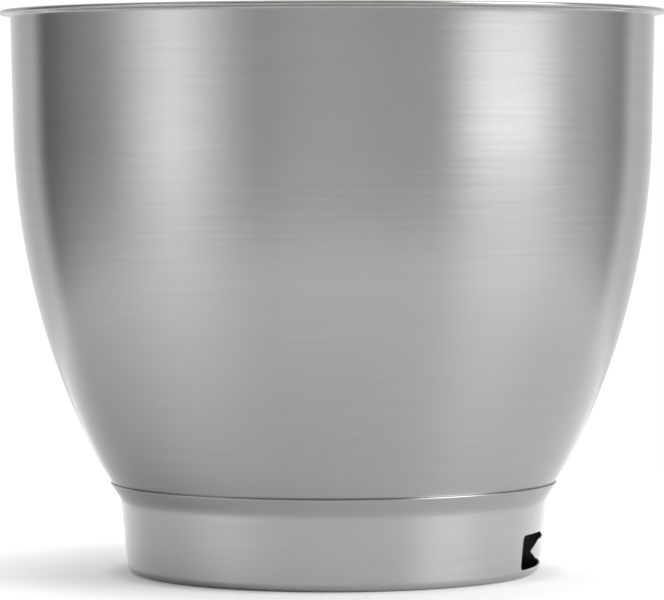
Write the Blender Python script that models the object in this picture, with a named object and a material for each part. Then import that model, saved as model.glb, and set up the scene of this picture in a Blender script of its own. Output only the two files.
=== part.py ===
"""Stand mixer bowl: a spun steel bowl on a welded foot ring with twist lock windows.

Sizes are in metres and angles in degrees. The bowl's axis is Z and the foot stands on Z = 0.
Both sheets are turned from an outline of straight runs and arcs, so every bend is tangent to the next.
"""

import math

import bmesh
import bpy

# Rim
overall_height = 0.207          # table to the top of the rim
rim_diameter = 0.245            # over the tip of the turned rim
rim_overhang = 0.0041           # how far the rim stands out past the wall
rim_fillet = 0.0012             # bend under the rim

# Bowl wall
bowl_sheet = 0.0008             # thickness of the bowl's sheet, which is folded double at the rim
wall_taper = 1.24               # lean of the upper wall from upright
belly_top = 0.162               # height where the wall starts to curve in
belly_radius = 0.2754
lower_wall_radius = 0.115       # tighter curve that the foot ring is seated on

# Bowl bottom, inside the foot ring
base_clearance = 0.006          # table to the underside of the bowl
dome_diameter = 0.044           # raised middle of the bottom
dome_rise = 0.005

# Foot ring
ring_sheet = 0.0006             # thickness of the ring's sheet
weld_gap = 0.0003               # left between the two sheets at the seat
seat_top = 0.0337               # height where the ring's top edge meets the bowl
seat_height = 0.004             # band of the ring that lies on the bowl
lower_wall_above_seat = 0.0113  # height of the tighter curve that shows above the ring
base_curve_below_seat = 0.0012  # the bottom's own curve starts this far under the seat
neck_radius = 0.007             # hollow bend from the seat into the skirt
skirt_taper = 5.8               # lean of the skirt from upright
foot_corner = 0.0034            # rolled edge that the ring stands on
flange_width = 0.0045           # flat part turned in under the skirt

# Twist lock windows in the skirt, each with a pointed tongue left standing in it
window_count = 2
window_bearing = -10.5          # middle of the first window, counted from +X towards +Y
window_width = 0.0464           # along the skirt
window_height = 0.0128          # above the rolled edge
window_corner = 0.002
tongue_width = 0.0072
tongue_tip_gap = 0.0078         # open stretch between the tongue's point and the window's end
tongue_point = 44.0             # full angle of the point
tongue_shoulder = 0.003         # rounding where the point meets the straight strip
tongue_tip = 0.0004             # rounding of the point itself

# Facets
around = 64                     # facets round the axis
chord_error = 0.00014           # most that a facet strays from its arc
facet_turn = 20.0               # most that an arc turns in one facet
cut_facet = 0.005               # longest facet along a window's edge
cutter_reach = (0.8, 1.15)      # a window's cutter runs from and to these shares of the skirt's radius
same_point = 0.000001           # ends that meet closer than this are one point
sharp_edge = 35.0               # edges that turn more than this aren't shaded smooth

# Finish
steel_tone = 0.62
bowl_roughness = 0.3
ring_roughness = 0.34

level = math.radians(90)


def facets_in(radius, turn):
    """Number of facets for an arc that turns by an angle in radians."""
    by_error = 2 * math.acos(1 - min(chord_error / abs(radius), 1))
    return max(2, math.ceil(abs(turn) / min(by_error, math.radians(facet_turn))))


def arc_point(start, radius, lean):
    """Point of an arc that begins at an outline's point and has come to a lean."""
    r, z, start_lean = start
    return (r + radius * (math.cos(lean) - math.cos(start_lean)),
            z - radius * (math.sin(lean) - math.sin(start_lean)), lean)


def arc_lean(start, radius, height):
    """Lean of such an arc where it has come down to a height."""
    return math.asin(math.sin(start[2]) + (start[1] - height) / radius)


def moved(point, distance):
    """A point of an outline moved square to the sheet, outwards if the distance is positive."""
    r, z, lean = point
    return (r + distance * math.cos(lean), z - distance * math.sin(lean), lean)


class Outline:
    """Outer side of a turned sheet, followed downwards as points (radius, height, lean).

    The lean is 0 where the sheet runs straight down, and level where it runs flat towards the axis.
    """

    def __init__(self, start):
        self.points = [start]

    @property
    def end(self):
        return self.points[-1]

    def straight(self, length):
        r, z, lean = self.end
        self.points.append((r - length * math.sin(lean), z - length * math.cos(lean), lean))

    def straight_down_to(self, height):
        self.straight((self.end[1] - height) / math.cos(self.end[2]))

    def bend(self, radius, lean):
        """Add an arc up to a lean. A negative radius bends the other way, as in a fillet."""
        start = self.end
        turn = lean - start[2]
        count = facets_in(radius, turn)
        self.points += [arc_point(start, radius, start[2] + turn * i / count) for i in range(1, count + 1)]

    def bend_down_to(self, radius, height):
        self.bend(radius, arc_lean(self.end, radius, height))


def visible_wall():
    """Outline of the bowl from the tip of the rim to where the lower wall's curve begins."""
    folded = 2 * bowl_sheet
    wall = Outline((rim_diameter / 2 - folded / 2, overall_height, -level))
    wall.bend(folded / 2, level)
    wall.straight(rim_overhang - folded / 2 - rim_fillet)
    wall.bend(-rim_fillet, math.radians(wall_taper))
    below_rim = len(wall.points) - 1
    wall.straight_down_to(belly_top)
    wall.bend_down_to(belly_radius, seat_top + lower_wall_above_seat)
    return wall, below_rim


def bowl_section():
    """Section of the bowl's sheet: up the inside, over the rim and down the outside."""
    wall, below_rim = visible_wall()
    base_curve_top = seat_top - seat_height - base_curve_below_seat
    wall.bend_down_to(lower_wall_radius, base_curve_top)
    wall.bend((base_curve_top - base_clearance) / (1 - math.sin(wall.end[2])), level)
    wall.straight(wall.end[0] - dome_diameter / 2)
    dome_slope = 2 * math.atan(2 * dome_rise / dome_diameter)
    dome_radius = dome_diameter / (4 * math.sin(dome_slope))
    wall.bend(dome_radius, level + dome_slope)
    wall.bend(-dome_radius, level)

    # The inside is rounded over into the rim by the bend that the outside has, plus the sheet.
    inside = [moved(point, -bowl_sheet) for point in wall.points[below_rim:]]
    rounding = rim_fillet + bowl_sheet
    taper = math.radians(wall_taper)
    rounding_foot = overall_height - rounding * (1 - math.sin(taper))
    inner_radius = inside[0][0] + (rounding_foot - inside[0][1]) * math.tan(taper)
    over = Outline((inner_radius + rounding * math.cos(taper), overall_height, level))
    over.bend(-rounding, taper)

    section = list(reversed(inside)) + list(reversed(over.points)) + wall.points
    return [(max(r, 0.0), z) for r, z, lean in section]


def ring_outline():
    """Outer side of the foot ring, from its top edge to the end of the flange."""
    wall, _ = visible_wall()
    lean_at = [arc_lean(wall.end, lower_wall_radius, height) for height in (seat_top, seat_top - seat_height)]
    stand_off = weld_gap + ring_sheet
    ring = Outline(moved(arc_point(wall.end, lower_wall_radius, lean_at[0]), stand_off))
    ring.bend(lower_wall_radius + stand_off, lean_at[1])
    taper = math.radians(skirt_taper)
    ring.bend(-neck_radius, taper)
    ring.straight_down_to(foot_corner * (1 - math.sin(taper)))
    ring.bend(foot_corner, level)
    ring.straight(flange_width)
    return ring


def ring_section():
    """Closed section of the foot ring: down the outside and up the inside."""
    ring = ring_outline()
    inside = [moved(point, -ring_sheet) for point in reversed(ring.points)]
    return [(r, z) for r, z, lean in ring.points + inside]


def skirt_radius(height):
    """Outer radius of the skirt at a height."""
    r, z, _ = ring_outline().points[-2 - facets_in(foot_corner, level - math.radians(skirt_taper))]
    return r + (height - z) * math.tan(math.radians(skirt_taper))


def rounded(corners):
    """Points of a closed outline whose corners (x, y, radius) are rounded."""
    points = []
    for i, (x, y, radius) in enumerate(corners):
        before = corners[i - 1]
        after = corners[(i + 1) % len(corners)]
        towards = [math.atan2(other[1] - y, other[0] - x) for other in (before, after)]
        opening = (towards[1] - towards[0] + math.pi) % (2 * math.pi) - math.pi
        middle = towards[0] + opening / 2
        reach = radius / math.sin(abs(opening) / 2)
        centre = (x + reach * math.cos(middle), y + reach * math.sin(middle))
        turn = math.copysign(math.pi - abs(opening), -opening)
        first = towards[0] + math.copysign(level, opening) + math.pi
        count = facets_in(radius, turn)
        points += [(centre[0] + radius * math.cos(first + turn * j / count),
                    centre[1] + radius * math.sin(first + turn * j / count)) for j in range(count + 1)]
    return points


def split_long_runs(points):
    """The same closed outline with no run longer than a cut's facet."""
    split = []
    for i, (x, y) in enumerate(points):
        next_x, next_y = points[(i + 1) % len(points)]
        count = max(1, math.ceil(math.hypot(next_x - x, next_y - y) / cut_facet))
        split += [(x + (next_x - x) * j / count, y + (next_y - y) * j / count) for j in range(count)]
    return split


def window_outline():
    """What is cut away for one window, as (distance along the skirt, height), round the tongue."""
    sill = foot_corner
    middle = sill + window_height / 2
    top = sill + window_height
    half = tongue_width / 2
    slot_end = (window_height - tongue_width) / 4
    shoulder = tongue_tip_gap + half / math.tan(math.radians(tongue_point) / 2)
    return split_long_runs(rounded([
        (0.0, sill, window_corner),
        (window_width, sill, slot_end),
        (window_width, middle - half, slot_end),
        (shoulder, middle - half, tongue_shoulder),
        (tongue_tip_gap, middle, tongue_tip),
        (shoulder, middle + half, tongue_shoulder),
        (window_width, middle + half, slot_end),
        (window_width, top, slot_end),
        (0.0, top, window_corner),
    ]))


def finish(name, roughness):
    """Brushed stainless steel."""
    material = bpy.data.materials.new(name)
    material.use_nodes = True
    shader = material.node_tree.nodes["Principled BSDF"]
    shader.inputs["Base Color"].default_value = (steel_tone, steel_tone, steel_tone, 1.0)
    shader.inputs["Metallic"].default_value = 1.0
    shader.inputs["Roughness"].default_value = roughness
    return material


def add_object(name, form):
    """Put a bmesh into the scene as an object whose faces point out."""
    bmesh.ops.recalc_face_normals(form, faces=form.faces)
    mesh = bpy.data.meshes.new(name)
    form.to_mesh(mesh)
    form.free()
    thing = bpy.data.objects.new(name, mesh)
    bpy.context.scene.collection.objects.link(thing)
    return thing


def turned(name, section, closed, material):
    """Spin a section round Z into a solid, shaded smooth except at its real edges."""
    form = bmesh.new()
    corners = [form.verts.new((r, 0.0, z)) for r, z in section]
    runs = [form.edges.new(pair) for pair in zip(corners, corners[1:])]
    if closed:
        runs.append(form.edges.new((corners[-1], corners[0])))
    bmesh.ops.spin(form, geom=corners + runs, cent=(0, 0, 0), axis=(0, 0, 1), angle=2 * math.pi,
                   steps=around, use_merge=False, use_duplicate=False)
    bmesh.ops.remove_doubles(form, verts=form.verts, dist=same_point)
    thing = add_object(name, form)
    thing.data.materials.append(material)
    thing.data.shade_smooth()
    thing.data.set_sharp_from_angle(angle=math.radians(sharp_edge))
    return thing


def window_cutter(name, bearing):
    """Wedge of space in the form of one window, pointing in to the axis."""
    outline = window_outline()
    radius = skirt_radius(foot_corner + window_height / 2)
    start = math.radians(bearing) - window_width / radius / 2
    form = bmesh.new()
    rims = []
    for reach in [share * radius for share in cutter_reach]:
        rims.append([form.verts.new((reach * math.cos(start + along / radius),
                                     reach * math.sin(start + along / radius), height))
                     for along, height in outline])
    near, far = rims
    for i in range(len(outline)):
        form.faces.new((near[i - 1], near[i], far[i], far[i - 1]))
    bmesh.ops.triangulate(form, faces=[form.faces.new(near), form.faces.new(far)])
    cutter = add_object(name, form)
    cutter.hide_render = True
    cutter.display_type = 'WIRE'
    return cutter


def build():
    for old in list(bpy.data.objects):
        bpy.data.objects.remove(old)
    turned("bowl_shell", bowl_section(), False, finish("bowl_steel", bowl_roughness))
    ring = turned("foot_ring", ring_section(), True, finish("ring_steel", ring_roughness))
    for i in range(window_count):
        cut = ring.modifiers.new("lock window", 'BOOLEAN')
        cut.operation = 'DIFFERENCE'
        cut.solver = 'EXACT'
        cut.object = window_cutter(f"lock_window_{i + 1}", window_bearing + 360 * i / window_count)


build()
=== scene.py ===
"""Stand mixer bowl: a spun, brushed steel bowl welded to a foot ring with twist lock windows.

Lengths are in metres. The bowl's axis is Z, the foot stands on Z = 0 and the front is towards -Y.
Both sheets are turned from an outline of straight runs and arcs, so every bend is tangent to the next.
"""

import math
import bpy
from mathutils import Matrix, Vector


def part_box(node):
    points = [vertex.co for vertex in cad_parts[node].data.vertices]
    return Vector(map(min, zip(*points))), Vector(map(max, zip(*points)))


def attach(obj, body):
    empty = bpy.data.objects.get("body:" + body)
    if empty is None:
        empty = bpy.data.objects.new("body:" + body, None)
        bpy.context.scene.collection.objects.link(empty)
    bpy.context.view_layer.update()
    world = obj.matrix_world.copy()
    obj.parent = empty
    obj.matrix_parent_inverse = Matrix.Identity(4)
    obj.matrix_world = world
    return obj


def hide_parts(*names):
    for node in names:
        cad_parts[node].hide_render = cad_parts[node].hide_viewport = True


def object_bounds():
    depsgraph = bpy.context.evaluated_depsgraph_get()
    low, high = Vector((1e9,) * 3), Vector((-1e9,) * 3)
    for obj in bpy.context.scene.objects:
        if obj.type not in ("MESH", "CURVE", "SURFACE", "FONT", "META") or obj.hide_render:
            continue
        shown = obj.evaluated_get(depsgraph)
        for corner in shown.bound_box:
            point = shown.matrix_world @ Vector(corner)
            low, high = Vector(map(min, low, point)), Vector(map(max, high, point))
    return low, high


bl_info = {
    "name": "Stand mixer bowl",
    "version": (1, 0, 0),
    "blender": (4, 5, 0),
    "location": "3D View > Sidebar > Mixer Bowl",
    "description": "Spun steel bowl and foot ring, their brushed finishes and a small white studio",
    "category": "Object",
}

from typing import NamedTuple

import bmesh
import bpy
from bpy.props import FloatProperty, IntProperty, PointerProperty
from mathutils import Matrix

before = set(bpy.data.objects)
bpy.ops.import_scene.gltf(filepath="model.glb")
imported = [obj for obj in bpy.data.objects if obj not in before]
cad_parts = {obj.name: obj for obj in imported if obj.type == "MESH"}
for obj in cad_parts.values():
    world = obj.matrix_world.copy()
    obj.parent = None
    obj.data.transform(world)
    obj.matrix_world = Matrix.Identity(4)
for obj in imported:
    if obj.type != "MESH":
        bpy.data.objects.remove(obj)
solid_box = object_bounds()

level = math.radians(90)
same_point = 0.000001       # corners that lie closer than this are one
quarter_turn = 0.25         # turns the smear of a brushed finish from along the lines to across them


def length(name, default, description):
    """A length that a user can set, in metres."""
    return FloatProperty(name=name, description=description, default=default, min=0.0,
                         subtype='DISTANCE', unit='LENGTH', precision=5)


def angle(name, degrees, description):
    """An angle that a user can set. Its default is given in degrees."""
    return FloatProperty(name=name, description=description, default=math.radians(degrees),
                         subtype='ANGLE', unit='ROTATION')


def share(name, default, description, top=1.0):
    """A plain number that a user can set."""
    return FloatProperty(name=name, description=description, default=default, min=0.0, max=top)


class BowlSizes(bpy.types.PropertyGroup):
    overall_height: length("Height", solid_box[1].z - solid_box[0].z, "Table to the top of the rim")
    rim_diameter: length("Rim", solid_box[1].x - solid_box[0].x, "Across the tip of the turned rim")
    rim_overhang: length("Overhang", 0.0041, "How far the rim stands out past the wall")
    rim_fillet: length("Bend under the rim", 0.0012, "Inner radius of the bend under the rim")
    sheet: length("Sheet", 0.0008, "Thickness of the sheet, which is folded double at the rim")
    wall_taper: angle("Wall taper", 1.24, "Lean of the upper wall from upright")
    belly_top: length("Belly top", 0.162, "Height where the wall starts to curve in")
    belly_radius: length("Belly radius", 0.2754, "Radius of the belly's curve")
    lower_wall_radius: length("Lower wall radius", 0.115, "Tighter curve that the foot ring is seated on")
    base_clearance: length("Base clearance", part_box("bowl_shell")[0].z, "Table to the underside of the bowl")
    dome_diameter: length("Dome", 0.044, "Across the raised middle of the bottom")
    dome_rise: length("Dome rise", 0.005, "Height of the raised middle")


class RingSizes(bpy.types.PropertyGroup):
    sheet: length("Sheet", 0.0006, "Thickness of the ring's sheet")
    weld_gap: length("Weld gap", 0.0001, "Left between the two sheets at the seat")
    edge_rounding: length("Edge rounding", 0.00025, "Rounding of the ring's cut edges")
    seat_top: length("Seat top", 0.0337, "Height where the ring's top edge meets the bowl")
    seat_height: length("Seat height", 0.004, "Band of the ring that lies on the bowl")
    lower_wall_above_seat: length("Lower wall", 0.0113, "Height of the tighter curve above the ring")
    base_curve_below_seat: length("Base curve", 0.0012, "The bottom's curve starts this far under the seat")
    neck_radius: length("Neck radius", 0.007, "Hollow bend from the seat into the skirt")
    skirt_taper: angle("Skirt taper", 5.8, "Lean of the skirt from upright")
    foot_corner: length("Foot corner", 0.0034, "Rolled edge that the ring stands on")
    flange_width: length("Flange", 0.0045, "Flat part turned in under the skirt")


class WindowSizes(bpy.types.PropertyGroup):
    count: IntProperty(name="Windows", description="Twist lock windows round the skirt", default=2, min=1)
    bearing: angle("Bearing", -10.5, "Middle of the first window, counted from +X towards +Y")
    width: length("Width", 0.0464, "Along the skirt")
    height: length("Height", 0.0128, "Above the rolled edge")
    corner: length("Corner", 0.002, "Rounding of the window's corners")
    tongue_width: length("Tongue", 0.0072, "Width of the pointed tongue")
    tip_gap: length("Tip gap", 0.0078, "Open stretch in front of the tongue's point")
    point: angle("Point", 44.0, "Full angle of the tongue's point")
    shoulder: length("Shoulder", 0.003, "Rounding where the point meets the straight strip")
    tip: length("Tip", 0.0004, "Rounding of the point itself")


class FineFacets(bpy.types.PropertyGroup):
    around: IntProperty(name="Round", description="Facets round the axis", default=360, min=16)
    chord_error: length("Chord error", 0.000006, "Most that a facet strays from its arc")
    turn: angle("Turn", 10.0, "Most that an arc turns in one facet")
    sharp_edge: angle("Sharp edge", 35.0, "Edges that turn more than this aren't shaded smooth")
    cut_reach: length("Cut reach", 0.004, "A window's cutter reaches this far in and out of the skirt")


class SteelFinish(bpy.types.PropertyGroup):
    bowl_tone: share("Bowl tone", 0.62, "Grey of the bowl's bare steel")
    ring_tone: share("Ring tone", 0.6, "Grey of the foot ring's bare steel")
    bowl_roughness: share("Bowl roughness", 0.225, "Satin brushing on the bowl's outside")
    inside_roughness: share("Inside roughness", 0.2, "Finer brushing on the bowl's inside")
    ring_roughness: share("Ring roughness", 0.26, "Coarser satin of the foot ring")
    line_length: length("Line length", 0.045, "How far a brush line runs round the axis")
    line_width: length("Line width", 0.0015, "Width of the broadest brush lines")
    line_depth: length("Line depth", 0.000004, "Depth of the brush lines")
    line_detail: FloatProperty(name="Line detail", description="Finer octaves within the broadest lines",
                               default=4.0, min=0.0)
    line_falloff: share("Line falloff", 0.65, "Strength of each finer octave")
    line_contrast: share("Line contrast", 0.24, "How much the lines change the steel's grey")
    line_haze: share("Line haze", 0.1, "How much the lines change the steel's roughness")
    patches: share("Patches per metre", 14.0, "Broad, faint patches of uneven brushing", 1000.0)
    patch_share: share("Patch share", 0.3, "Share of the change that comes from the patches")
    bowl_smear: share("Bowl smear", 1.0, "How far the outside's lines smear what it mirrors up and down")
    satin_smear: share("Satin smear", 0.9, "The same for the bowl's inside and the foot ring")


class Studio(bpy.types.PropertyGroup):
    table_radius: length("Table", 0.45, "Radius of the round white table that the bowl stands on")
    table_tone: share("Table tone", 0.9, "Grey of the white table")
    # The table's sheen below is a painted reflection: a glow that the camera and reflected rays see, standing
    # in for what a satin coat would mirror. The index only shapes how the glow falls off with the angle of
    # view.
    sheen_ior: FloatProperty(name="Table coat", description="Index of refraction of the table's satin coat",
                              default=1.1, min=1.0)
    table_corners: IntProperty(name="Table corners", description="Corners of the table's edge",
                               default=96, min=3)
    foot_sheen: share("Sheen at the foot", 1.05, "Strength of what the coat mirrors by the foot", 4.0)
    table_sheen: share("Sheen further out", 1.7, "Strength of what the coat mirrors further out", 4.0)
    sheen_full: length("Sheen full", 0.17, "Distance from the axis where the sheen is full")
    # Painted contact shade: the painted sheen is dimmed right beside the foot.
    contact_shade: share("Contact shade", 0.55, "Share of the sheen that is left right beside the foot")
    contact_reach: length("Contact reach", 0.088, "Distance from the axis where the contact shade ends")
    edge_white: share("Edge white", 0.65, "White of the table's edge, which is lost in the backdrop")
    edge_start: share("Edge start", 0.7, "Share of the table's radius where it begins to whiten")
    edge_full: share("Edge full", 0.95, "Share of the table's radius where it is white")
    room_floor: share("Room floor", 0.12, "Added by the room's floor, past the table", 20.0)
    backdrop: share("Backdrop", 0.48, "Added by the white backdrop behind the bowl", 20.0)
    backdrop_glow: share("Backdrop glow", 0.3, "Added by the brighter middle of the backdrop", 20.0)
    left_panel: share("Left panel", 1.35, "Added by the soft panel on the left", 20.0)
    right_panel: share("Right panel", 5.35, "Added by the higher panel on the right", 20.0)
    left_wall: share("Left wall", 0.39, "Added by the wall on the left", 20.0)
    right_wall: share("Right wall", 0.69, "Added by the wall on the right", 20.0)
    front_fill: share("Front fill", 0.84, "Added by the soft fill behind the camera", 20.0)
    overhead: share("Overhead", 0.75, "Added by the plain ceiling", 20.0)


class Panel(NamedTuple):
    """Place of a soft source as the bowl sees it, in degrees, with its bearing counted from the camera."""
    bearing: float
    elevation: float
    half_width: float
    half_height: float
    side_edge: float
    top_edge: float


panels = {
    "room_floor": Panel(0, -50, 200, 42, 1, 6),
    "backdrop": Panel(180, 0, 50, 60, 7, 15),
    "backdrop_glow": Panel(180, 10, 22, 50, 20, 20),
    "left_panel": Panel(-58, 0, 17, 11, 19, 5),
    "right_panel": Panel(67, 28, 18, 15, 12, 12),
    "left_wall": Panel(-91, 0, 21, 40, 40, 20),
    "right_wall": Panel(87, 0, 30, 40, 45, 20),
    "front_fill": Panel(0, 0, 42, 10, 40, 12),
    "overhead": Panel(0, 90, 200, 38, 1, 14),
}


class Viewpoint(bpy.types.PropertyGroup):
    distance: length("Distance", 1.5252, "From the bowl's axis to the camera")
    eye_height: length("Eye height", 0.1625, "Table to the camera")
    lens: FloatProperty(name="Lens", description="Focal length in millimetres", default=223.88,
                        subtype='DISTANCE_CAMERA')
    down: angle("Down", 2.337, "Tilt of the camera below the horizon")
    turn: angle("Turn", 0.016, "Turn of the camera to the left")
    roll: angle("Roll", -0.139, "Roll of the camera about its line of sight")


def facets_in(radius, turn):
    """Number of facets for an arc that turns by an angle in radians."""
    fine = bpy.context.scene.mixer_bowl_facets
    by_error = 2 * math.acos(1 - min(fine.chord_error / abs(radius), 1))
    return max(2, math.ceil(abs(turn) / min(by_error, fine.turn)))


def arc_point(start, radius, lean):
    """Point of an arc that begins at an outline's point and has come to a lean."""
    r, z, start_lean = start
    return (r + radius * (math.cos(lean) - math.cos(start_lean)),
            z - radius * (math.sin(lean) - math.sin(start_lean)), lean)


def arc_lean(start, radius, height):
    """Lean of such an arc where it has come down to a height."""
    return math.asin(math.sin(start[2]) + (start[1] - height) / radius)


def moved(point, distance):
    """A point of an outline moved square to the sheet, outwards if the distance is positive."""
    r, z, lean = point
    return (r + distance * math.cos(lean), z - distance * math.sin(lean), lean)


class Outline:
    """Outer side of a turned sheet, followed downwards as points (radius, height, lean).

    The lean is 0 where the sheet runs straight down, and level where it runs flat towards the axis.
    """

    def __init__(self, start):
        self.points = [start]

    @property
    def end(self):
        return self.points[-1]

    def straight(self, distance):
        r, z, lean = self.end
        self.points.append((r - distance * math.sin(lean), z - distance * math.cos(lean), lean))

    def straight_down_to(self, height):
        self.straight((self.end[1] - height) / math.cos(self.end[2]))

    def bend(self, radius, lean):
        """Add an arc up to a lean. A negative radius bends the other way, as in a fillet."""
        start = self.end
        turn = lean - start[2]
        count = facets_in(radius, turn)
        self.points += [arc_point(start, radius, start[2] + turn * i / count) for i in range(1, count + 1)]

    def bend_down_to(self, radius, height):
        self.bend(radius, arc_lean(self.end, radius, height))


def visible_wall(bowl, ring):
    """Outline of the bowl from the tip of the rim to where the lower wall's curve begins."""
    folded = 2 * bowl.sheet
    wall = Outline((bowl.rim_diameter / 2 - folded / 2, bowl.overall_height, -level))
    wall.bend(folded / 2, level)
    wall.straight(bowl.rim_overhang - folded / 2 - bowl.rim_fillet)
    wall.bend(-bowl.rim_fillet, bowl.wall_taper)
    below_rim = len(wall.points) - 1
    wall.straight_down_to(bowl.belly_top)
    wall.bend_down_to(bowl.belly_radius, ring.seat_top + ring.lower_wall_above_seat)
    return wall, below_rim


def bowl_section(bowl, ring):
    """Section of the bowl's sheet, as its inside upwards and then its outside downwards."""
    wall, below_rim = visible_wall(bowl, ring)
    base_curve_top = ring.seat_top - ring.seat_height - ring.base_curve_below_seat
    wall.bend_down_to(bowl.lower_wall_radius, base_curve_top)
    wall.bend((base_curve_top - bowl.base_clearance) / (1 - math.sin(wall.end[2])), level)
    wall.straight(wall.end[0] - bowl.dome_diameter / 2)
    dome_slope = 2 * math.atan(2 * bowl.dome_rise / bowl.dome_diameter)
    dome_radius = bowl.dome_diameter / (4 * math.sin(dome_slope))
    wall.bend(dome_radius, level + dome_slope)
    wall.bend(-dome_radius, level)

    # The inside is rounded over into the rim by the bend that the outside has, plus the sheet.
    inside = [moved(point, -bowl.sheet) for point in wall.points[below_rim:]]
    rounding = bowl.rim_fillet + bowl.sheet
    rounding_foot = bowl.overall_height - rounding * (1 - math.sin(bowl.wall_taper))
    inner_radius = inside[0][0] + (rounding_foot - inside[0][1]) * math.tan(bowl.wall_taper)
    over = Outline((inner_radius + rounding * math.cos(bowl.wall_taper), bowl.overall_height, level))
    over.bend(-rounding, bowl.wall_taper)
    return list(reversed(inside)) + list(reversed(over.points)), wall.points


def ring_outline(bowl, ring):
    """Outer side of the foot ring, from its top edge to the end of the flange."""
    wall, _ = visible_wall(bowl, ring)
    lean_at = [arc_lean(wall.end, bowl.lower_wall_radius, height)
               for height in (ring.seat_top, ring.seat_top - ring.seat_height)]
    stand_off = ring.weld_gap + ring.sheet
    outline = Outline(moved(arc_point(wall.end, bowl.lower_wall_radius, lean_at[0]), stand_off))
    outline.bend(bowl.lower_wall_radius + stand_off, lean_at[1])
    outline.bend(-ring.neck_radius, ring.skirt_taper)
    outline.straight_down_to(ring.foot_corner * (1 - math.sin(ring.skirt_taper)))
    outline.bend(ring.foot_corner, level)
    outline.straight(ring.flange_width)
    return outline


def rounded_end(point, sheet, rounding, inwards):
    """Rounded cut edge across a sheet, from its outer side to its inner side or back."""
    r, z, lean = point
    sides = (-rounding, rounding - sheet)
    along = -1 if inwards else 1
    turns = facets_in(rounding, level)
    points = []
    for side, start in zip(sides, (0, level)):
        for i in range(turns + 1):
            turn = start + level * i / turns
            out = side + rounding * math.cos(turn)
            past = rounding * (math.sin(turn) - 1)
            points.append((r + out * math.cos(lean) + along * past * math.sin(lean),
                           z - out * math.sin(lean) + along * past * math.cos(lean)))
    return points


def ring_section(bowl, ring):
    """Closed section of the foot ring: down the outside, across the flange's end and up the inside."""
    points = ring_outline(bowl, ring).points
    outside = [(r, z) for r, z, lean in points[1:-1]]
    inside = [moved(point, -ring.sheet)[:2] for point in reversed(points[1:-1])]
    top = rounded_end(points[0], ring.sheet, ring.edge_rounding, False)
    flange_end = rounded_end(points[-1], ring.sheet, ring.edge_rounding, True)
    return outside + flange_end + inside + list(reversed(top))


def skirt_radius(bowl, ring, height):
    """Outer radius of the skirt at a height."""
    corner_facets = facets_in(ring.foot_corner, level - ring.skirt_taper)
    r, z, _ = ring_outline(bowl, ring).points[-2 - corner_facets]
    return r + (height - z) * math.tan(ring.skirt_taper)


def rounded(corners):
    """Points of a closed outline whose corners (x, y, radius) are rounded."""
    points = []
    for i, (x, y, radius) in enumerate(corners):
        before = corners[i - 1]
        after = corners[(i + 1) % len(corners)]
        towards = [math.atan2(other[1] - y, other[0] - x) for other in (before, after)]
        opening = (towards[1] - towards[0] + math.pi) % (2 * math.pi) - math.pi
        middle = towards[0] + opening / 2
        reach = radius / math.sin(abs(opening) / 2)
        centre = (x + reach * math.cos(middle), y + reach * math.sin(middle))
        turn = math.copysign(math.pi - abs(opening), -opening)
        first = towards[0] + math.copysign(level, opening) + math.pi
        count = facets_in(radius, turn)
        points += [(centre[0] + radius * math.cos(first + turn * j / count),
                    centre[1] + radius * math.sin(first + turn * j / count)) for j in range(count + 1)]
    return points


def window_outline(window, sill):
    """What is cut away for one window, as (distance along the skirt, height), round the tongue."""
    middle = sill + window.height / 2
    top = sill + window.height
    half = window.tongue_width / 2
    slot_end = (window.height - window.tongue_width) / 4
    shoulder = window.tip_gap + half / math.tan(window.point / 2)
    return rounded([
        (0.0, sill, window.corner),
        (window.width, sill, slot_end),
        (window.width, middle - half, slot_end),
        (shoulder, middle - half, window.shoulder),
        (window.tip_gap, middle, window.tip),
        (shoulder, middle + half, window.shoulder),
        (window.width, middle + half, slot_end),
        (window.width, top, slot_end),
        (0.0, top, window.corner),
    ])


def add_node(tree, kind, feeds=(), **settings):
    """Add a node, set its properties, and link or set its inputs from (input, value or output) pairs."""
    node = tree.nodes.new(kind)
    for setting, value in settings.items():
        setattr(node, setting, value)
    for socket, value in feeds:
        if isinstance(value, bpy.types.NodeSocket):
            tree.links.new(value, node.inputs[socket])
        else:
            node.inputs[socket].default_value = value
    return node


def calculate(tree, operation, *values):
    """Output of a Math node."""
    return add_node(tree, 'ShaderNodeMath', enumerate(values), operation=operation).outputs[0]


def smooth_step(tree, value, start, end, low=0.0, high=1.0):
    """Output that goes softly from low to high while a value goes from start to end."""
    feeds = [("Value", value), ("From Min", start), ("From Max", end), ("To Min", low), ("To Max", high)]
    return add_node(tree, 'ShaderNodeMapRange', feeds, interpolation_type='SMOOTHSTEP').outputs[0]


def add_sockets(tree, sockets):
    """Named inputs and outputs of a node tree, as (name, direction, type, default)."""
    for name, direction, kind, default in sockets:
        socket = tree.interface.new_socket(name, in_out=direction, socket_type=kind)
        if default is not None:
            socket.default_value = default


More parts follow.
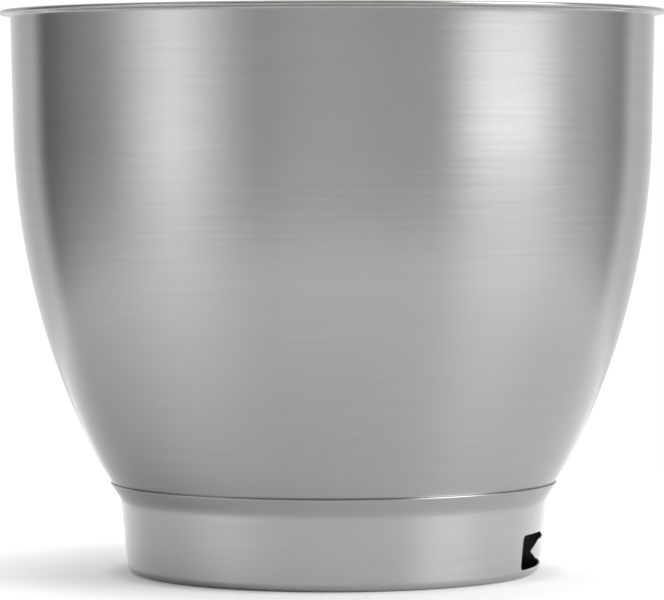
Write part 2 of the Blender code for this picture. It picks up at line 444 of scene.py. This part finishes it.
def turned_sheet_tree():
    """Turn a section round Z into a closed sheet. The section's X is its radius and its Y its height."""
    tree = bpy.data.node_groups.new("turned_sheet", 'GeometryNodeTree')
    add_sockets(tree, [
        ("Section", 'INPUT', 'NodeSocketGeometry', None),
        ("Facets round", 'INPUT', 'NodeSocketInt', 64),
        ("Turning circle", 'INPUT', 'NodeSocketFloat', 0.1),
        ("Same point", 'INPUT', 'NodeSocketFloat', same_point),
        ("Outside finish", 'INPUT', 'NodeSocketMaterial', None),
        ("Inside finish", 'INPUT', 'NodeSocketMaterial', None),
        ("Sheet", 'OUTPUT', 'NodeSocketGeometry', None),
    ])
    given = add_node(tree, 'NodeGroupInput').outputs
    onto_circle = add_node(tree, 'ShaderNodeCombineXYZ',
                           [("X", calculate(tree, 'MULTIPLY', given["Turning circle"], -1.0))])
    placed = add_node(tree, 'GeometryNodeTransform',
                      [("Geometry", given["Section"]), ("Translation", onto_circle.outputs[0]),
                       ("Scale", (1.0, -1.0, 1.0))])
    section = add_node(tree, 'GeometryNodeMeshToCurve', [("Mesh", placed.outputs[0])])
    circle = add_node(tree, 'GeometryNodeCurvePrimitiveCircle',
                      [("Resolution", given["Facets round"]), ("Radius", given["Turning circle"])])
    upright = add_node(tree, 'GeometryNodeSetCurveNormal',
                       [("Curve", circle.outputs["Curve"])], mode='Z_UP')
    turned = add_node(tree, 'GeometryNodeCurveToMesh',
                      [("Curve", upright.outputs["Curve"]), ("Profile Curve", section.outputs["Curve"])])
    merged = add_node(tree, 'GeometryNodeMergeByDistance',
                      [("Geometry", turned.outputs["Mesh"]), ("Distance", given["Same point"])])
    smooth = add_node(tree, 'GeometryNodeSetShadeSmooth', [("Geometry", merged.outputs["Geometry"])])
    whole = add_node(tree, 'GeometryNodeRealizeInstances', [("Geometry", smooth.outputs["Geometry"])])
    outer = add_node(tree, 'GeometryNodeSetMaterial',
                     [("Geometry", whole.outputs["Geometry"]), ("Material", given["Outside finish"])])
    inside = add_node(tree, 'GeometryNodeInputNamedAttribute', [("Name", "inside")], data_type='BOOLEAN')
    inner = add_node(tree, 'GeometryNodeSetMaterial',
                     [("Geometry", outer.outputs["Geometry"]), ("Selection", inside.outputs["Attribute"]),
                      ("Material", given["Inside finish"])])
    add_node(tree, 'NodeGroupOutput', [("Sheet", inner.outputs["Geometry"])])
    return tree


def section_object(name, points, inside_count, closed):
    """Edges that follow a section of (radius, height) points, of which the first ones are on the inside."""
    pairs = [(i, i + 1) for i in range(len(points) - 1)]
    if closed:
        pairs.append((len(points) - 1, 0))
    mesh = bpy.data.meshes.new(name)
    mesh.from_pydata([(r, z, 0.0) for r, z in points], pairs, [])
    inside = mesh.attributes.new("inside", 'BOOLEAN', 'POINT')
    inside.data.foreach_set("value", [i < inside_count for i in range(len(points))])
    thing = bpy.data.objects.new(name, mesh)
    bpy.context.scene.collection.objects.link(thing)
    return thing


def apply_tree(thing, tree, values):
    """Run a tree on an object, with its inputs set by name, and keep the result as its plain mesh."""
    modifier = thing.modifiers.new(tree.name, 'NODES')
    modifier.node_group = tree
    names = {item.name: item.identifier for item in tree.interface.items_tree if item.in_out == 'INPUT'}
    for name, value in values.items():
        modifier[names[name]] = value
    bpy.context.view_layer.update()
    evaluated = thing.evaluated_get(bpy.context.evaluated_depsgraph_get())
    mesh = bpy.data.meshes.new_from_object(evaluated)
    thing.modifiers.remove(modifier)
    thing.data = mesh


def window_object(name, points):
    """One flat face with the outline of what a window takes away."""
    mesh = bpy.data.meshes.new(name)
    mesh.from_pydata([(along, height, 0.0) for along, height in points], [], [range(len(points))])
    thing = bpy.data.objects.new(name, mesh)
    bpy.context.scene.collection.objects.link(thing)
    return thing


def lock_windows_tree():
    """Cut like windows out of a turned ring. A window's X runs along the skirt and its Y upwards."""
    tree = bpy.data.node_groups.new("lock_windows", 'GeometryNodeTree')
    add_sockets(tree, [
        ("Ring", 'INPUT', 'NodeSocketGeometry', None),
        ("Window", 'INPUT', 'NodeSocketObject', None),
        ("Windows", 'INPUT', 'NodeSocketInt', 2),
        ("First bearing", 'INPUT', 'NodeSocketFloat', 0.0),
        ("Skirt radius", 'INPUT', 'NodeSocketFloat', 0.075),
        ("Cut reach", 'INPUT', 'NodeSocketFloat', 0.004),
        ("Same point", 'INPUT', 'NodeSocketFloat', same_point),
        ("Finish", 'INPUT', 'NodeSocketMaterial', None),
        ("Ring", 'OUTPUT', 'NodeSocketGeometry', None),
    ])
    given = add_node(tree, 'NodeGroupInput').outputs
    flat = add_node(tree, 'GeometryNodeObjectInfo', [("Object", given["Window"])]).outputs["Geometry"]
    thickness = calculate(tree, 'MULTIPLY', given["Cut reach"], 2.0)
    up = add_node(tree, 'ShaderNodeCombineXYZ', [("Z", 1.0)])
    raised = add_node(tree, 'GeometryNodeExtrudeMesh',
                      [("Mesh", flat), ("Offset", up.outputs[0]), ("Offset Scale", thickness),
                       ("Individual", False)])
    underside = add_node(tree, 'GeometryNodeFlipFaces', [("Mesh", flat)])
    both = add_node(tree, 'GeometryNodeJoinGeometry')
    tree.links.new(raised.outputs["Mesh"], both.inputs[0])
    tree.links.new(underside.outputs["Mesh"], both.inputs[0])
    prism = add_node(tree, 'GeometryNodeMergeByDistance',
                     [("Geometry", both.outputs[0]), ("Distance", given["Same point"])])
    triangles = add_node(tree, 'GeometryNodeTriangulate', [("Mesh", prism.outputs["Geometry"])])

    place = add_node(tree, 'ShaderNodeSeparateXYZ',
                     [(0, add_node(tree, 'GeometryNodeInputPosition').outputs[0])]).outputs
    turn = calculate(tree, 'DIVIDE', place["X"], given["Skirt radius"])
    nearest = calculate(tree, 'SUBTRACT', given["Skirt radius"], given["Cut reach"])
    out = calculate(tree, 'ADD', nearest, place["Z"])
    wrapped = add_node(tree, 'ShaderNodeCombineXYZ',
                       [("X", calculate(tree, 'MULTIPLY', out, calculate(tree, 'COSINE', turn))),
                        ("Y", calculate(tree, 'MULTIPLY', out, calculate(tree, 'SINE', turn))),
                        ("Z", place["Y"])])
    cutter = add_node(tree, 'GeometryNodeSetPosition',
                      [("Geometry", triangles.outputs["Mesh"]), ("Position", wrapped.outputs[0])])

    points = add_node(tree, 'GeometryNodePoints', [("Count", given["Windows"])])
    step = calculate(tree, 'DIVIDE', 2 * math.pi, given["Windows"])
    index = add_node(tree, 'GeometryNodeInputIndex').outputs[0]
    bearing = calculate(tree, 'MULTIPLY_ADD', index, step, given["First bearing"])
    facing = add_node(tree, 'ShaderNodeCombineXYZ', [("Z", bearing)])
    cutters = add_node(tree, 'GeometryNodeInstanceOnPoints',
                       [("Points", points.outputs[0]), ("Instance", cutter.outputs["Geometry"]),
                        ("Rotation", facing.outputs[0])])
    whole_cutters = add_node(tree, 'GeometryNodeRealizeInstances', [("Geometry", cutters.outputs[0])])
    cut = add_node(tree, 'GeometryNodeMeshBoolean',
                   [("Mesh 1", given["Ring"]), ("Mesh 2", whole_cutters.outputs[0])],
                   operation='DIFFERENCE', solver='EXACT')
    merged = add_node(tree, 'GeometryNodeMergeByDistance',
                      [("Geometry", cut.outputs["Mesh"]), ("Distance", given["Same point"])])
    smooth = add_node(tree, 'GeometryNodeSetShadeSmooth', [("Geometry", merged.outputs["Geometry"])])
    whole = add_node(tree, 'GeometryNodeRealizeInstances', [("Geometry", smooth.outputs["Geometry"])])
    finished = add_node(tree, 'GeometryNodeSetMaterial',
                        [("Geometry", whole.outputs["Geometry"]), ("Material", given["Finish"])])
    add_node(tree, 'NodeGroupOutput', [("Ring", finished.outputs["Geometry"])])
    return tree


def close_and_point_out(thing):
    """Merge doubles, point the faces out, and stop if the sheet isn't closed all round."""
    form = bmesh.new()
    form.from_mesh(thing.data)
    bmesh.ops.remove_doubles(form, verts=form.verts, dist=same_point)
    bmesh.ops.recalc_face_normals(form, faces=form.faces)
    open_edges = [edge for edge in form.edges if len(edge.link_faces) != 2]
    volume = form.calc_volume(signed=True)
    form.to_mesh(thing.data)
    form.free()
    if open_edges or volume <= 0:
        raise RuntimeError(f"{thing.name} has {len(open_edges)} open edges and a volume of {volume}")
    inside = thing.data.attributes.get("inside")
    if inside:
        thing.data.attributes.remove(inside)
    thing.data.shade_smooth()
    thing.data.set_sharp_from_angle(angle=bpy.context.scene.mixer_bowl_facets.sharp_edge)


def stand_for(thing, solid):
    """The piece is shown in place of a solid of the part and moves with its body."""
    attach(thing, "root")
    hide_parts(solid)


def brush_lines():
    """Tone, roughness and height of steel that was brushed round the Z axis."""
    tree = bpy.data.node_groups.get("brush_lines")
    if tree:
        return tree
    tree = bpy.data.node_groups.new("brush_lines", 'ShaderNodeTree')
    add_sockets(tree, [
        ("Tone", 'INPUT', 'NodeSocketFloat', 0.6),
        ("Tone variation", 'INPUT', 'NodeSocketFloat', 0.05),
        ("Roughness", 'INPUT', 'NodeSocketFloat', 0.3),
        ("Roughness variation", 'INPUT', 'NodeSocketFloat', 0.1),
        ("Line length", 'INPUT', 'NodeSocketFloat', 0.04),
        ("Line width", 'INPUT', 'NodeSocketFloat', 0.001),
        ("Line detail", 'INPUT', 'NodeSocketFloat', 4.0),
        ("Line falloff", 'INPUT', 'NodeSocketFloat', 0.65),
        ("Patches", 'INPUT', 'NodeSocketFloat', 14.0),
        ("Patch share", 'INPUT', 'NodeSocketFloat', 0.3),
        ("Tone", 'OUTPUT', 'NodeSocketFloat', None),
        ("Roughness", 'OUTPUT', 'NodeSocketFloat', None),
        ("Height", 'OUTPUT', 'NodeSocketFloat', None),
    ])
    given = add_node(tree, 'NodeGroupInput').outputs
    place = add_node(tree, 'ShaderNodeTexCoord').outputs["Object"]
    x, y, z = add_node(tree, 'ShaderNodeSeparateXYZ', [(0, place)]).outputs
    out = calculate(tree, 'SQRT', calculate(tree, 'MULTIPLY_ADD', x, x, calculate(tree, 'MULTIPLY', y, y)))
    across = calculate(tree, 'DIVIDE', calculate(tree, 'ADD', out, z), given["Line width"])
    along = [calculate(tree, 'DIVIDE', side, given["Line length"]) for side in (x, y)]
    stretched = add_node(tree, 'ShaderNodeCombineXYZ', enumerate([*along, across])).outputs[0]
    lines = add_node(tree, 'ShaderNodeTexNoise',
                     [("Vector", stretched), ("Scale", 1.0), ("Detail", given["Line detail"]),
                      ("Roughness", given["Line falloff"])]).outputs[0]
    patches = add_node(tree, 'ShaderNodeTexNoise',
                       [("Vector", place), ("Scale", given["Patches"])]).outputs[0]
    mixed = add_node(tree, 'ShaderNodeMix',
                     [("Factor", given["Patch share"]), ("A", lines), ("B", patches)]).outputs[0]
    spread = calculate(tree, 'SUBTRACT', mixed, 0.5)
    lighter = calculate(tree, 'MULTIPLY_ADD', spread, given["Tone variation"], 1.0)
    rougher = calculate(tree, 'MULTIPLY_ADD', spread, given["Roughness variation"], 1.0)
    add_node(tree, 'NodeGroupOutput',
             [("Tone", calculate(tree, 'MULTIPLY', given["Tone"], lighter)),
              ("Roughness", calculate(tree, 'MULTIPLY', given["Roughness"], rougher)),
              ("Height", lines)])
    return tree


def brushed_steel(name, tone, roughness, smear):
    """Stainless steel with fine brush lines round the axis, which smear what it mirrors up and down."""
    finish = bpy.context.scene.mixer_bowl_finish
    material = bpy.data.materials.new(name)
    material.use_nodes = True
    tree = material.node_tree
    shader = tree.nodes["Principled BSDF"]
    lines = add_node(tree, 'ShaderNodeGroup', node_tree=brush_lines())
    for socket, value in [("Tone", tone), ("Tone variation", finish.line_contrast),
                          ("Roughness", roughness), ("Roughness variation", finish.line_haze),
                          ("Line length", finish.line_length), ("Line width", finish.line_width),
                          ("Line detail", finish.line_detail), ("Line falloff", finish.line_falloff),
                          ("Patches", finish.patches), ("Patch share", finish.patch_share)]:
        lines.inputs[socket].default_value = value
    bump = add_node(tree, 'ShaderNodeBump',
                    [("Height", lines.outputs["Height"]), ("Distance", finish.line_depth)])
    around = add_node(tree, 'ShaderNodeTangent', direction_type='RADIAL', axis='Z')
    shader.inputs["Metallic"].default_value = 1.0
    shader.inputs["Anisotropic"].default_value = smear
    shader.inputs["Anisotropic Rotation"].default_value = quarter_turn
    tree.links.new(lines.outputs["Tone"], shader.inputs["Base Color"])
    tree.links.new(lines.outputs["Roughness"], shader.inputs["Roughness"])
    tree.links.new(bump.outputs["Normal"], shader.inputs["Normal"])
    tree.links.new(around.outputs["Tangent"], shader.inputs["Tangent"])
    return material


def soft_panel():
    """How much of a soft panel a direction meets: 1 on it, 0 past it and a smooth edge between."""
    tree = bpy.data.node_groups.get("soft_panel")
    if tree:
        return tree
    tree = bpy.data.node_groups.new("soft_panel", 'ShaderNodeTree')
    add_sockets(tree, [
        ("Bearing", 'INPUT', 'NodeSocketFloat', 0.0),
        ("Elevation", 'INPUT', 'NodeSocketFloat', 0.0),
        ("Panel bearing", 'INPUT', 'NodeSocketFloat', 0.0),
        ("Panel elevation", 'INPUT', 'NodeSocketFloat', 0.0),
        ("Half width", 'INPUT', 'NodeSocketFloat', 0.5),
        ("Half height", 'INPUT', 'NodeSocketFloat', 0.5),
        ("Side edge", 'INPUT', 'NodeSocketFloat', 0.1),
        ("Top edge", 'INPUT', 'NodeSocketFloat', 0.1),
        ("Share", 'OUTPUT', 'NodeSocketFloat', None),
    ])
    given = add_node(tree, 'NodeGroupInput').outputs
    sideways = calculate(tree, 'SUBTRACT', given["Bearing"], given["Panel bearing"])
    sideways = calculate(tree, 'ABSOLUTE', calculate(tree, 'WRAP', sideways, math.pi, -math.pi))
    upwards = calculate(tree, 'ABSOLUTE',
                        calculate(tree, 'SUBTRACT', given["Elevation"], given["Panel elevation"]))
    shares = []
    for off, half, edge in [(sideways, given["Half width"], given["Side edge"]),
                            (upwards, given["Half height"], given["Top edge"])]:
        past = calculate(tree, 'ADD', half, edge)
        inside = calculate(tree, 'SUBTRACT', half, edge)
        shares.append(smooth_step(tree, off, past, inside))
    add_node(tree, 'NodeGroupOutput', [("Share", calculate(tree, 'MULTIPLY', *shares))])
    return tree


def light_studio(studio):
    """Dark room with a plain ceiling, a white backdrop, soft panels and a wall on both sides.

    The camera sees it white.
    """
    world = bpy.data.worlds.new("studio")
    bpy.context.scene.world = world
    world.use_nodes = True
    tree = world.node_tree
    tree.nodes.clear()
    direction = add_node(tree, 'ShaderNodeTexCoord').outputs["Generated"]
    x, y, z = add_node(tree, 'ShaderNodeSeparateXYZ', [(0, direction)]).outputs
    bearing = calculate(tree, 'ARCTAN2', x, calculate(tree, 'MULTIPLY', y, -1.0))
    elevation = calculate(tree, 'ARCSINE', z)

    total = 0.0
    for name, panel in panels.items():
        share_seen = add_node(tree, 'ShaderNodeGroup', node_tree=soft_panel(), name=name)
        tree.links.new(bearing, share_seen.inputs["Bearing"])
        tree.links.new(elevation, share_seen.inputs["Elevation"])
        for socket, size in zip(("Panel bearing", "Panel elevation", "Half width", "Half height",
                                 "Side edge", "Top edge"), panel):
            share_seen.inputs[socket].default_value = math.radians(size)
        total = calculate(tree, 'MULTIPLY_ADD', share_seen.outputs[0], getattr(studio, name), total)
    seen = add_node(tree, 'ShaderNodeLightPath').outputs["Is Camera Ray"]
    strength = add_node(tree, 'ShaderNodeMix', [("Factor", seen), ("A", total), ("B", 1.0)]).outputs[0]
    background = add_node(tree, 'ShaderNodeBackground', [("Color", (1, 1, 1, 1)), ("Strength", strength)])
    add_node(tree, 'ShaderNodeOutputWorld', [("Surface", background.outputs[0])])


def table_finish(studio, foot_radius):
    """White table that keeps the bowl's shadow and is as white as the backdrop further out.

    Its painted sheen, a glow that the camera and reflected rays see in place of a satin coat mirroring the
    white room, is strongest where the table is seen flat and weakest beside the foot, where painted contact
    shade dims it.
    """
    material = bpy.data.materials.new("studio_table")
    material.use_nodes = True
    tree = material.node_tree
    tree.nodes.clear()
    paint = add_node(tree, 'ShaderNodeBsdfDiffuse', [("Color", (studio.table_tone,) * 3 + (1.0,))])
    path = add_node(tree, 'ShaderNodeLightPath').outputs
    seen = calculate(tree, 'MAXIMUM', path["Is Camera Ray"],
                     calculate(tree, 'MAXIMUM', path["Is Glossy Ray"], path["Is Transmission Ray"]))
    place = add_node(tree, 'ShaderNodeTexCoord').outputs["Object"]
    away = add_node(tree, 'ShaderNodeVectorMath', [(0, place)], operation='LENGTH').outputs["Value"]
    # Painted sheen: a glow, not a reflection, that grows away from the foot and where the table is seen flat.
    sheen = smooth_step(tree, away, studio.sheen_full / 2, studio.sheen_full,
                        studio.foot_sheen, studio.table_sheen)
    # Painted contact shade beside the foot.
    contact = smooth_step(tree, away, foot_radius, studio.contact_reach, studio.contact_shade, 1.0)
    flatness = add_node(tree, 'ShaderNodeFresnel', [("IOR", studio.sheen_ior)]).outputs[0]
    edge = smooth_step(tree, away, studio.table_radius * studio.edge_start,
                       studio.table_radius * studio.edge_full, 0.0, studio.edge_white)
    painted_sheen = calculate(tree, 'MULTIPLY', calculate(tree, 'MULTIPLY', sheen, flatness), contact)
    white = calculate(tree, 'MAXIMUM', painted_sheen, edge)
    lift = add_node(tree, 'ShaderNodeEmission', [("Strength", calculate(tree, 'MULTIPLY', white, seen))])
    lit = add_node(tree, 'ShaderNodeAddShader')
    tree.links.new(paint.outputs[0], lit.inputs[0])
    tree.links.new(lift.outputs[0], lit.inputs[1])
    add_node(tree, 'ShaderNodeOutputMaterial', [("Surface", lit.outputs[0])])
    return material


class MIXER_BOWL_OT_stage(bpy.types.Operator):
    """Make the table, the studio's light and the camera"""
    bl_idname = "mixer_bowl.stage"
    bl_label = "Stage and camera"

    def execute(self, context):
        scene = context.scene
        studio, view = scene.mixer_bowl_studio, scene.mixer_bowl_view
        mesh = bpy.data.meshes.new("studio_table")
        corners = range(studio.table_corners)
        turns = [2 * math.pi * i / len(corners) for i in corners]
        mesh.from_pydata([(studio.table_radius * math.cos(turn), studio.table_radius * math.sin(turn), 0)
                          for turn in turns], [], [corners])
        table = bpy.data.objects.new("studio_table", mesh)
        scene.collection.objects.link(table)
        foot_radius = skirt_radius(scene.mixer_bowl_sizes, scene.mixer_bowl_ring, 0.0)
        mesh.materials.append(table_finish(studio, foot_radius))
        light_studio(studio)

        camera = bpy.data.objects.new("camera", bpy.data.cameras.new("camera"))
        scene.collection.objects.link(camera)
        camera.data.lens = view.lens
        camera.matrix_world = (Matrix.Translation((0, -view.distance, view.eye_height))
                               @ Matrix.Rotation(view.turn, 4, 'Z')
                               @ Matrix.Rotation(level - view.down, 4, 'X')
                               @ Matrix.Rotation(view.roll, 4, 'Z'))
        scene.camera = camera
        scene.view_settings.view_transform = 'Standard'
        return {'FINISHED'}


class MIXER_BOWL_OT_bowl(bpy.types.Operator):
    """Turn the bowl's sheet, with its folded rim, belly, seat and raised bottom"""
    bl_idname = "mixer_bowl.bowl"
    bl_label = "Bowl"

    def execute(self, context):
        scene = context.scene
        finish = scene.mixer_bowl_finish
        inside, outside = bowl_section(scene.mixer_bowl_sizes, scene.mixer_bowl_ring)
        points = [(max(r, 0.0), z) for r, z, lean in inside + outside]
        bowl = section_object("spun_bowl", points, len(inside), False)
        apply_tree(bowl, turned_sheet_tree(), {
            "Facets round": scene.mixer_bowl_facets.around,
            "Same point": same_point,
            "Outside finish": brushed_steel("bowl_brushed", finish.bowl_tone, finish.bowl_roughness,
                                            finish.bowl_smear),
            "Inside finish": brushed_steel("bowl_inside_satin", finish.bowl_tone, finish.inside_roughness,
                                           finish.satin_smear),
        })
        close_and_point_out(bowl)
        stand_for(bowl, "bowl_shell")
        return {'FINISHED'}


class MIXER_BOWL_OT_foot_ring(bpy.types.Operator):
    """Turn the foot ring and cut its twist lock windows, with the tongues left standing"""
    bl_idname = "mixer_bowl.foot_ring"
    bl_label = "Foot ring"

    def execute(self, context):
        scene = context.scene
        finish, sizes, ring_sizes = scene.mixer_bowl_finish, scene.mixer_bowl_sizes, scene.mixer_bowl_ring
        window = scene.mixer_bowl_window
        steel = brushed_steel("foot_satin", finish.ring_tone, finish.ring_roughness, finish.satin_smear)
        ring = section_object("welded_foot_ring", ring_section(sizes, ring_sizes), 0, True)
        apply_tree(ring, turned_sheet_tree(), {
            "Facets round": scene.mixer_bowl_facets.around,
            "Same point": same_point,
            "Outside finish": steel,
            "Inside finish": steel,
        })
        close_and_point_out(ring)
        sill = ring_sizes.foot_corner
        radius = skirt_radius(sizes, ring_sizes, sill + window.height / 2)
        cut = window_object("lock_window", window_outline(window, sill))
        apply_tree(ring, lock_windows_tree(), {
            "Window": cut,
            "Windows": window.count,
            "First bearing": window.bearing - window.width / radius / 2,
            "Skirt radius": radius,
            "Cut reach": scene.mixer_bowl_facets.cut_reach,
            "Same point": same_point,
            "Finish": steel,
        })
        bpy.data.objects.remove(cut)
        close_and_point_out(ring)
        stand_for(ring, "foot_ring")
        return {'FINISHED'}


class MIXER_BOWL_PT_panel(bpy.types.Panel):
    bl_idname = "MIXER_BOWL_PT_panel"
    bl_label = "Stand mixer bowl"
    bl_space_type = 'VIEW_3D'
    bl_region_type = 'UI'
    bl_category = "Mixer Bowl"

    def draw(self, context):
        for operator in steps:
            self.layout.operator(operator.bl_idname)
        for setting in settings:
            group = getattr(context.scene, setting)
            box = self.layout.box()
            box.label(text=type(group).__name__)
            for name in type(group).__annotations__:
                box.prop(group, name)


settings = {
    "mixer_bowl_sizes": BowlSizes,
    "mixer_bowl_ring": RingSizes,
    "mixer_bowl_window": WindowSizes,
    "mixer_bowl_facets": FineFacets,
    "mixer_bowl_finish": SteelFinish,
    "mixer_bowl_studio": Studio,
    "mixer_bowl_view": Viewpoint,
}
steps = (MIXER_BOWL_OT_stage, MIXER_BOWL_OT_bowl, MIXER_BOWL_OT_foot_ring)


def register():
    for kind in (*settings.values(), *steps, MIXER_BOWL_PT_panel):
        bpy.utils.register_class(kind)
    for setting, kind in settings.items():
        setattr(bpy.types.Scene, setting, PointerProperty(type=kind))


def unregister():
    for setting in settings:
        delattr(bpy.types.Scene, setting)
    for kind in reversed((*settings.values(), *steps, MIXER_BOWL_PT_panel)):
        bpy.utils.unregister_class(kind)


def main():
    register()
    bpy.ops.mixer_bowl.stage()
    bpy.ops.mixer_bowl.bowl()
    bpy.ops.mixer_bowl.foot_ring()


if __name__ == "__main__":
    main()
